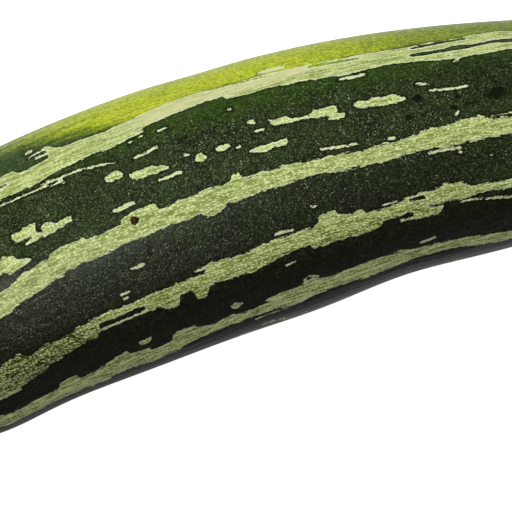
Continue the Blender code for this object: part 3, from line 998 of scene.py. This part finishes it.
def grown_stripe(chance, start, stop, middle, width, first=None, last=None):
    """A stripe's two edges, as a seeded walk with small steps, from one station to another.

    first and last are the angles of both edges where the stripe goes on from one that is drawn.
    """
    places = [start]
    while places[-1] < stop - 2.2:
        places.append(places[-1] + chance.uniform(1.2, 3.6))
    places.append(stop)
    taper = chance.uniform(10, 24)
    foot, top = [], []
    low, high = first or (middle - width / 2, middle + width / 2)
    for place in places:
        share = (place - start) / (stop - start)
        aim_low, aim_high = middle - width / 2, middle + width / 2
        if last:
            aim_low += (last[0] - aim_low) * share
            aim_high += (last[1] - aim_high) * share
        low += (aim_low - low) * 0.25 + chance.normal(0, 0.55)
        high += (aim_high - high) * 0.25 + chance.normal(0, 0.55)
        if chance.random() < NOTCH_CHANCE:
            high += chance.choice(NOTCH_STEPS)
        if chance.random() < NOTCH_CHANCE:
            low -= chance.choice(NOTCH_STEPS)
        high = max(high, low + LEAST_STRIPE)
        if place == start and first:
            low, high = first
        if place == stop and last:
            low, high = last
        open_start = 1 if first else (place - start) / taper
        open_stop = 1 if last else (stop - place) / taper
        pinch = (high - low) / 2 * (1 - max(min(open_start, open_stop, 1), 0.02) ** 0.7)
        foot.append((place - 0.12, low + pinch))
        top.append((place + 0.12, high - pinch))
    return foot, top


def loose_dash(chance, station, middle):
    """A short torn dash beside the stripes."""
    length = chance.uniform(1.2, 7.5)
    half = chance.uniform(0.45, 1.5)
    places = np.linspace(station, station + length, 2 + int(length / 1.6))
    foot = [(place, middle - half * chance.uniform(0.5, 1.2)) for place in places]
    top = [(place, middle + half * chance.uniform(0.5, 1.2)) for place in places]
    return foot, top


def two_edges(line):
    """The lower and the upper edge of a mark given as (station, lower angle, upper angle)."""
    return [(at, low) for at, low, _ in line], [(at, high) for at, _, high in line]


def all_marks():
    """Every pale mark as two edges: those that the picture shows, then seeded ones for the rest."""
    chance = np.random.default_rng(MARK_SEED)
    marks = [*DRAWN_STRIPES, *(two_edges(line) for line in PALE_MARKS)]
    for (foot, top), (middle, width) in zip(DRAWN_STRIPES, SEEN_STRIPES):
        start, stop = chance.uniform(1, 5), foot[0][0] + 0.5
        blossom = (foot[0][1], top[0][1])
        marks.append(grown_stripe(chance, start, stop, middle, width, last=blossom))
        start, stop = foot[-1][0] - 0.5, chance.uniform(218, 227)
        neck = (foot[-1][1], top[-1][1])
        marks.append(grown_stripe(chance, start, stop, middle, width, first=neck))
    for middle, width in HIDDEN_STRIPES:
        start, stop = chance.uniform(1, 6), chance.uniform(216, 227)
        marks.append(grown_stripe(chance, start, stop, middle, width))
    for gap in HIDDEN_GAPS:
        for _ in range(HIDDEN_DASHES):
            marks.append(loose_dash(chance, chance.uniform(12, 210), gap + chance.normal(0, 4.5)))
    for gap in SEEN_GAPS:
        for _ in range(SEEN_DASHES):
            side = chance.random() < 0.5
            station = chance.uniform(14, 40) if side else chance.uniform(164, 212)
            marks.append(loose_dash(chance, station, gap + chance.normal(0, 5)))
    return marks


def band(value, start, rise, stop, fall):
    """1 between start and stop, but rising from 0 just after start and falling to 0 before stop."""
    return smoothstep((value - start) / rise) * smoothstep((stop - value) / fall)


def patch(station, angle, middle, facing, length, spread):
    """A soft round patch: 1 in its middle, fading over a length along and a spread round the fruit."""
    return np.exp(-(((station - middle) / length) ** 2) - ((angle - facing) / spread) ** 2)


def paint_marks(mesh, station, angle):
    """Stores how deep each vertex lies inside a pale mark, and how torn the mark's edge is there."""
    pale = np.full(len(station), FAR_OUTSIDE)
    tear = np.ones(len(station))
    for foot, top in all_marks():
        depth, share = mark_distance(station, angle, foot, top)
        tear = np.where(depth > pale, share, tear)
        pale = np.maximum(pale, depth)
    for line in DARK_SLITS:
        depth, share = mark_distance(station, angle, *two_edges(line))
        tear = np.where(-depth < pale, share, tear)
        pale = np.minimum(pale, -depth)
    store(mesh, "tear", tear * (1 - 0.5 * band(angle, 34, 6, 70, 4)))
    store(mesh, "pale", np.clip(pale, -3, 3))


def paint_attributes(mesh):
    """Stores where the marks, tints, smudges and the painted light and shade lie, on every vertex of the
    skin.
    """
    station, angle = unbend(vertex_array(mesh))
    station = station / MM
    paint_marks(mesh, station, angle)
    turn = np.radians(angle)
    girth = BELLY_RADIUS / MM
    store(mesh, "straight", np.stack([station, girth * np.cos(turn), girth * np.sin(turn)], 1))
    start = np.interp(station, (50, 63, 74, 80, 88, 128, 140), (56, 53, 49, 48, 48, 48, 54))
    width = np.interp(station, (50, 63, 74, 80, 88), (24, 22, 17, 11, 6))
    spread = smoothstep((station - 38 - 0.3 * np.maximum(angle - 90, 0)) / 50)
    spread *= 1 - 0.6 * smoothstep((station - 104) / 54)
    lime = band(angle, start, width, 134, 40) * spread
    store(mesh, "lime", lime * smoothstep((222 - station) / 76))
    # A soft patch of painted shade near the neck on the upper side, which also dulls the greener skin there
    shaded = patch(station, angle, 153, 28, 9, 12)
    store(mesh, "leafy", band(angle, 24, 24, 150, 30) * (1 - 0.8 * shaded))
    # Painted light and shade: the upper side is painted lit, a little darker towards the neck, and the side
    # below about -34 degrees is left in painted shade; near the neck the painted light reaches a little
    # lower, and two soft patches of painted shade dim it
    upper = band(angle, -34, 46, 200, 50) * (1 - 0.22 * smoothstep((station - 90) / 30))
    neck_light = smoothstep((station - 138) / 10) * band(angle, -34, 10, 60, 30)
    shade_patch = patch(station, angle, 129, -12, 15, 10)
    bright = np.maximum(upper, 0.6 * neck_light) * (1 - 0.45 * shaded) * (1 - 0.45 * shade_patch)
    store(mesh, "bright", np.clip(bright, 0, 1))
    lowest = np.interp(station, (78, 96, 112, 124), (40, 44, 46, 49))
    store(mesh, "beige", band(station, 78, 14, 137, 14) * band(angle, lowest, 3, 62, 4))
    dapple = np.maximum(band(station, 30, 10, 72, 12), 0.3 * smoothstep((station - 104) / 14))
    store(mesh, "dapple", dapple * band(angle, -50, 5, -26, 3))
    smudge = np.zeros(len(station))
    degree = degree_length(station)
    for middle, facing, length, spread_mm in SMUDGES:
        smudge += patch(station, (angle - facing) * degree, middle, 0, length, spread_mm)
    store(mesh, "smudge", np.clip(smudge, 0, 1))
    past_seat = station - FRUIT_LENGTH / MM + CRUST_WIDTH
    store(mesh, "crust", smoothstep(past_seat / CRUST_WIDTH))


def stem_frame(length):
    """The stem's middle line at each distance from the fruit, with its own three directions."""
    seat, upward, outward, along = (row[0] for row in axis_frame(FRUIT_LENGTH))
    length = np.asarray(length, float)[:, None]
    turned = length / STEM_BEND_RADIUS
    raised = length / STEM_RISE_RADIUS
    centre = seat + along * (STEM_GAP + length) - outward * length * turned / 2 + upward * length * raised / 2
    upright = upward - along * raised
    across = outward + along * turned
    onward = along - outward * turned + upward * raised
    directions = (upright, across, onward)
    return centre, *(rows / np.linalg.norm(rows, axis=1, keepdims=True) for rows in directions)


def stem_ring_mesh(face_rings, side_rings):
    """Rings over the foot, up the side and over the slanted cut to its middle."""
    edge = np.linspace(0, 1, face_rings)
    side = np.linspace(0, 1, side_rings)[1:-1]
    share = np.concatenate([np.zeros(face_rings), side, np.ones(face_rings)])
    inset = np.concatenate([edge, np.ones(len(side)), edge[::-1]])
    length = share * STEM_LENGTH
    flare = (STEM_FOOT - STEM_WAIST) * (1 - smoothstep(length / STEM_FOOT_REACH))
    swell = (STEM_TOP - STEM_WAIST) * smoothstep(1 - (STEM_LENGTH - length) / STEM_TOP_REACH)
    radius = inset * (STEM_WAIST + flare + swell)
    length = length - STEM_CUT_DISH * (1 - inset**2) * (share == 1)
    centre, *directions = stem_frame(length)
    waves = {"rib": STEM_GROOVE_SHARE * radius, "lobe": STEM_RIB_SHARE * radius}
    waves["slant"] = STEM_CUT_SLOPE * share
    return ring_mesh("stem_rings", centre, directions, radius=radius, **waves)


def paint_stem(mesh):
    """Stores the stem's straightened place, its ridges, its dry end and its cut face."""
    points = vertex_array(mesh)
    seat, _, _, along = (row[0] for row in axis_frame(FRUIT_LENGTH))
    length = (points - seat) @ along - STEM_GAP
    centre, upright, across, _ = stem_frame(np.clip(length, 0, 2 * STEM_LENGTH))
    side = ((points - centre) * across).sum(1)
    rise = ((points - centre) * upright).sum(1)
    turn = np.arctan2(side, rise)
    past_cut = length - STEM_CUT_SLOPE * (length / STEM_LENGTH) * rise - STEM_LENGTH
    wave = np.cos(LOBE_COUNT * (turn - RIB_ANGLE))
    inner = np.hypot(side, rise) / (STEM_TOP * (1 + STEM_RIB_SHARE * wave))
    face = smoothstep((past_cut + 0.0022) / 0.0008) * (inner < 1.03)
    cut = face * smoothstep((1.0 - inner) / 0.05)
    girth = STEM_TOP / MM
    store(mesh, "straight", np.stack([length / MM, girth * np.cos(turn), girth * np.sin(turn)], 1))
    store(mesh, "face", np.stack([rise, side, 0.2 * length], 1) / MM)
    ridge = 0.5 + 0.5 * wave
    store(mesh, "ridge", ridge)
    store(mesh, "dry", smoothstep((past_cut + 0.005) / 0.005) * (1 - cut))
    store(mesh, "cut", cut)
    store(mesh, "pith", np.clip(inner, 0, 1))
    hairy = smoothstep((length - 0.0015) / 0.002) * smoothstep((-past_cut - 0.003) / 0.003)
    store(mesh, "hairy", hairy * (0.35 + 0.65 * ridge))


def adopt(piece, node=None):
    """Puts a finished piece on the object's one body, and hides the solid that it stands for when one is
    named.
    """
    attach(piece, BODY)
    if node:
        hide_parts(node)


def small_disc(name, middle, directions, profile, rib_share, lobe_share, values):
    """A small round piece on the skin. profile is a line of (distance from its middle, height)."""
    radius, height = np.array(profile[::-1]).T
    centre = np.array(middle) + height[:, None] * np.array(directions[2])
    waves = {"rib": rib_share * radius, "lobe": lobe_share * radius}
    mesh = ring_mesh(name + "_rings", centre, directions, radius=radius, **waves)
    return made_by_nodes(name, mesh, "Ribbed Sweep", values)


def length_property(label, description, default):
    return bpy.props.FloatProperty(name=label, description=description, default=default, unit="LENGTH")


def power_property(label, description, default):
    return bpy.props.FloatProperty(name=label, description=description, default=default, unit="POWER")


def share_property(label, description, default, highest=1):
    return bpy.props.FloatProperty(name=label, description=description, default=default, min=0, max=highest)


def strength_property(label, description, default):
    return bpy.props.FloatProperty(name=label, description=description, default=default, min=0)


def count_property(label, description, default, least):
    return bpy.props.IntProperty(name=label, description=description, default=default, min=least)


def colour_property(label, description, *display_values):
    return bpy.props.FloatVectorProperty(
        name=label,
        description=description,
        default=linear(*display_values),
        subtype="COLOR",
        size=3,
        min=0,
        max=1,
    )


class ZucchiniSizes(bpy.types.PropertyGroup):
    """Sizes and counts of the zucchini's pieces."""

    end_rings: count_property("End Rings", "Rings over each end", 36, 8)
    plain_spacing: length_property("Plain Spacing", "Distance between the fruit's rings", 0.0014)
    fine_spacing: length_property("Fine Spacing", "The same where its stripes are drawn", 0.00045)
    fruit_segments: count_property("Fruit Segments", "Points round each ring of the fruit", 268, 40)
    crowding: share_property("Crowding", "How much closer the points lie on the upper side", 0.5, 0.8)
    stem_segments: count_property("Stem Segments", "Points round each ring of the stem", 160, 20)
    bristle_length: length_property("Bristle Length", "Length of a bristle on the stem", 0.0008)
    bristle_density: bpy.props.FloatProperty(
        name="Bristle Density",
        description="Bristles for each square metre of the stem's ridges",
        default=650000,
    )
    scab_radius: length_property("Scab Radius", "Radius of the healed nick on the skin", 0.00082)


class ZucchiniFinish(bpy.types.PropertyGroup):
    """How the zucchini's skin shines."""

    skin_roughness: share_property("Skin Roughness", "Roughness of the waxy skin", 0.33)
    skin_shine: share_property("Skin Shine", "Strength of the skin's reflections", 0.5)
    skin_relief: length_property("Skin Relief", "Depth of the skin's fine dimples", 0.00022)


class ZucchiniColours(bpy.types.PropertyGroup):
    """Colours of the skin, among them lit and shaded copies of its dark green and its partly painted glints,
    of the stem and of the dry spots.
    """

    # Lit and shaded copies of the dark skin: Deep Green is painted shade on the lower side and random darker
    # tone above, Dark Green the painted light on the upper side
    deep_and_shaded_green: colour_property("Deep Green", "Darkest skin", 20, 24, 15)
    lit_dark_green: colour_property("Dark Green", "Dark skin", 33, 43, 18)
    leaf_green: colour_property("Leaf Green", "Dark skin towards the bend's outside", 37, 61, 4)
    grain: colour_property("Grain", "Lighter grain of the dark skin", 90, 112, 57)
    # Specks that are partly lenticels and partly painted glints
    speck_and_glint: colour_property("Speck", "Grey-green specks of the dark skin", 184, 192, 166)
    smudge: colour_property("Smudge", "Nearly black smudges", 16, 22, 8)
    lime: colour_property("Lime", "Yellowest skin on the bend's outside", 204, 216, 46)
    lime_shade: colour_property("Lime Shade", "Olive grain in the yellow skin", 132, 152, 14)
    lime_gold: colour_property("Lime Gold", "Golden streaks in the yellow skin", 218, 210, 84)
    lime_green: colour_property("Lime Green", "Skin between dark green and yellow", 74, 102, 18)
    lime_line: colour_property("Lime Line", "Thin line between the yellow skin and its stripe", 78, 82, 26)
    stripe_pale: colour_property("Stripe Pale", "Palest dots of the stripes", 238, 249, 174)
    stripe_olive: colour_property("Stripe Olive", "Ground of the stripes", 104, 126, 32)
    stripe_rim: colour_property("Stripe Rim", "Bleached edges of the stripes", 222, 234, 186)
    stripe_beige: colour_property("Stripe Beige", "Bleached stretch of the upper stripe", 216, 216, 162)
    dapple: colour_property("Dapple", "Dark dapples in a pale stripe", 46, 66, 8)
    crust: colour_property("Crust", "Dry skin round the stem's seat", 78, 88, 40)
    stem_green: colour_property("Stem Green", "Grooves of the stem", 92, 122, 48)
    stem_pale: colour_property("Stem Pale", "Ridges of the stem", 166, 182, 108)
    pith: colour_property("Pith", "Middle of the stem's cut", 214, 214, 168)
    dry: colour_property("Dry", "Dried end of the stem", 150, 128, 82)
    cork_dark: colour_property("Cork Dark", "Darkest cork", 62, 46, 27)
    cork_light: colour_property("Cork Light", "Lightest cork", 150, 126, 84)
    nick_dark: colour_property("Nick Dark", "Darkest crust of the nick", 10, 8, 6)
    nick_light: colour_property("Nick Light", "Lightest crust of the nick", 84, 58, 35)


class ZucchiniStudio(bpy.types.PropertyGroup):
    """The floor, the lights and the camera."""

    floor_size: length_property("Floor Size", "Side of the floor", 12.0)
    camera_distance: length_property("Camera Distance", "Camera's height over the fruit's middle", 0.6)
    key_power: power_property("Key Power", "Power of the main light", 15.0)
    top_power: power_property("Top Power", "Power of the soft top light", 1.7)
    ambient: strength_property("Ambient", "Strength of the surrounding light", 0.12)
    gloss_ambient: strength_property(
        "Gloss Ambient", "Strength of the surrounding light in reflections", 0.02
    )


class ZUCCHINI_OT_fruit(bpy.types.Operator):
    """Build the fruit with its stripes"""

    bl_idname = "zucchini.fruit"
    bl_label = "Fruit"

    def execute(self, context):
        scene = context.scene
        sizes = scene.zucchini_sizes
        values = {
            "Segments": sizes.fruit_segments,
            "Crowding": sizes.crowding,
            "Rib Count": RIB_COUNT,
            "Lobe Count": LOBE_COUNT,
            "Rib Angle": RIB_ANGLE,
            "Material": skin_material(scene.zucchini_colours, scene.zucchini_finish),
        }
        fruit = made_by_nodes("zucchini_fruit", fruit_ring_mesh(sizes), "Ribbed Sweep", values)
        press_swells(fruit.data)
        paint_attributes(fruit.data)
        adopt(fruit, "fruit")
        return {"FINISHED"}


class ZUCCHINI_OT_stem(bpy.types.Operator):
    """Build the cut stem and its bristles"""

    bl_idname = "zucchini.stem"
    bl_label = "Stem"

    def execute(self, context):
        sizes = context.scene.zucchini_sizes
        colours = context.scene.zucchini_colours
        values = {
            "Segments": sizes.stem_segments,
            "Rib Count": 2 * LOBE_COUNT,
            "Lobe Count": LOBE_COUNT,
            "Rib Angle": RIB_ANGLE,
            "Material": stem_material(colours),
        }
        rings = stem_ring_mesh(STEM_FACE_RINGS, STEM_SIDE_RINGS)
        stem = made_by_nodes("zucchini_stem", rings, "Ribbed Sweep", values)
        paint_stem(stem.data)
        adopt(stem, "stem")
        values = {
            "Density": sizes.bristle_density,
            "Length": sizes.bristle_length,
            "Material": bristle_material(colours),
        }
        bristles = made_by_nodes("stem_bristles", stem.data.copy(), "Stem Bristles", values)
        adopt(bristles)
        return {"FINISHED"}


class ZUCCHINI_OT_scars(bpy.types.Operator):
    """Build the blossom scar and the healed nick"""

    bl_idname = "zucchini.scars"
    bl_label = "Scars"

    def execute(self, context):
        colours = context.scene.zucchini_colours
        cork = cork_material("zucchini_cork", colours.cork_dark, colours.cork_light)
        crust = cork_material("zucchini_nick", colours.nick_dark, colours.nick_light)
        centre, upward, outward, along = (row[0] for row in axis_frame(0.0))
        values = {"Segments": 60, "Rib Count": 15, "Lobe Count": 5, "Material": cork}
        directions = (upward, -outward, -along)
        scar = small_disc("blossom_scar", centre, directions, BLOSSOM_PROFILE, 0.02, 0.035, values)
        adopt(scar)
        size = context.scene.zucchini_sizes.scab_radius
        profile = [(share * size, height) for share, height in NICK_PROFILE]
        middle, normal, onward, around = skin_frame(*NICK_PLACE)
        values = {"Segments": 40, "Rib Count": 7, "Lobe Count": 3, "Material": crust}
        scab = small_disc("healed_nick", middle, (onward, -around, normal), profile, 0.04, 0.1, values)
        adopt(scab)
        return {"FINISHED"}


def area_light(name, place, aim, size, power, colour, shown_in_gloss):
    light = bpy.data.lights.new(name, "AREA")
    light.shape = "RECTANGLE"
    light.size, light.size_y = size
    light.energy = power
    light.color = colour
    holder = bpy.data.objects.new(name, light)
    holder.location = place
    holder.rotation_euler = (Vector(aim) - Vector(place)).to_track_quat("-Z", "Y").to_euler()
    holder.visible_camera = False
    holder.visible_glossy = shown_in_gloss
    bpy.context.scene.collection.objects.link(holder)


def floor_material():
    """A pale floor that stays white to the camera and greyer in the skin's reflections."""
    values = {"Roughness": 0.9, "Specular IOR Level": 0.1, "Emission Color": (1, 1, 1, 1)}
    material, desk, shader = new_material("studio_floor", values)
    path = desk.add("ShaderNodeLightPath").outputs
    place = desk.object_place()
    out = desk.axis(place, "Y")
    near = desk.span(desk.math("ABSOLUTE", out), 0.04, 0.10, 1.0, 0.0)
    front = desk.span(desk.axis(place, "X"), -0.07, 0.0, 0.2, 0.3)
    side = desk.span(out, -0.02, 0.02, front, 0.62)
    glow = desk.times(desk.times(path["Is Glossy Ray"], near), side)
    desk.feed(shader["Emission Strength"], desk.times_plus(path["Is Camera Ray"], 0.9, glow))
    mirrored = desk.mix(path["Is Glossy Ray"], (0.86, 0.86, 0.85, 1), (0.05, 0.05, 0.05, 1))
    desk.feed(shader["Base Color"], mirrored)
    return material


def add_air(scene, ambient, gloss_ambient):
    """An even white light from all round, weaker in reflections."""
    world = bpy.data.worlds.new("studio_air")
    scene.world = world
    world.use_nodes = True
    air = world.node_tree.nodes["Background"].inputs
    desk = NodeDesk(world.node_tree)
    desk.feed(air["Color"], (1, 1, 1, 1))
    mirrored = desk.add("ShaderNodeLightPath").outputs["Is Glossy Ray"]
    desk.feed(air["Strength"], desk.span(mirrored, 0.0, 1.0, ambient, gloss_ambient))


def add_camera(scene, distance):
    """A camera that looks straight down, as far off as the picture's width asks."""
    camera = bpy.data.cameras.new("studio_camera")
    camera.sensor_width = SENSOR_WIDTH
    camera.lens = SENSOR_WIDTH * distance / PICTURE_WIDTH
    camera.clip_start, camera.clip_end = 0.05, 20.0
    eye = bpy.data.objects.new("studio_camera", camera)
    across, up, height = PICTURE_MIDDLE
    eye.location = (across, up, height + distance)
    eye.rotation_euler = (0, 0, PICTURE_ROLL)
    scene.collection.objects.link(eye)
    scene.camera = eye


class ZUCCHINI_OT_studio(bpy.types.Operator):
    """Build the floor, the lights and the camera"""

    bl_idname = "zucchini.studio"
    bl_label = "Studio"

    def execute(self, context):
        scene = context.scene
        studio = scene.zucchini_studio
        bpy.ops.mesh.primitive_plane_add(size=studio.floor_size, location=(0, 0, -FLOOR_GAP))
        floor = context.object
        floor.name = "studio_floor"
        floor.data.materials.append(floor_material())
        for name, place, size, power, colour, shown_in_gloss in LIGHTS:
            area_light(name, place, PICTURE_MIDDLE, size, getattr(studio, power), colour, shown_in_gloss)
        add_air(scene, studio.ambient, studio.gloss_ambient)
        add_camera(scene, studio.camera_distance)
        scene.view_settings.view_transform = "Standard"
        return {"FINISHED"}


class ZUCCHINI_PT_panel(bpy.types.Panel):
    """Lists the pieces and their settings"""

    bl_idname = "ZUCCHINI_PT_panel"
    bl_label = "Striped Zucchini"
    bl_space_type = "VIEW_3D"
    bl_region_type = "UI"
    bl_category = "Zucchini"

    def draw(self, context):
        for operator in OPERATORS:
            self.layout.operator(operator.bl_idname)
        for name, group in SETTINGS.items():
            for field in group.__annotations__:
                self.layout.prop(getattr(context.scene, name), field)


SETTINGS = {
    "zucchini_sizes": ZucchiniSizes,
    "zucchini_finish": ZucchiniFinish,
    "zucchini_colours": ZucchiniColours,
    "zucchini_studio": ZucchiniStudio,
}
OPERATORS = (ZUCCHINI_OT_fruit, ZUCCHINI_OT_stem, ZUCCHINI_OT_scars, ZUCCHINI_OT_studio)
CLASSES = (*SETTINGS.values(), *OPERATORS, ZUCCHINI_PT_panel)


def register():
    for made in CLASSES:
        bpy.utils.register_class(made)
    for name, group in SETTINGS.items():
        setattr(bpy.types.Scene, name, bpy.props.PointerProperty(type=group))


def unregister():
    for name in SETTINGS:
        delattr(bpy.types.Scene, name)
    for made in reversed(CLASSES):
        bpy.utils.unregister_class(made)


def main():
    register()
    bpy.ops.zucchini.fruit()
    bpy.ops.zucchini.stem()
    bpy.ops.zucchini.scars()
    bpy.ops.zucchini.studio()


if __name__ == "__main__":
    main()
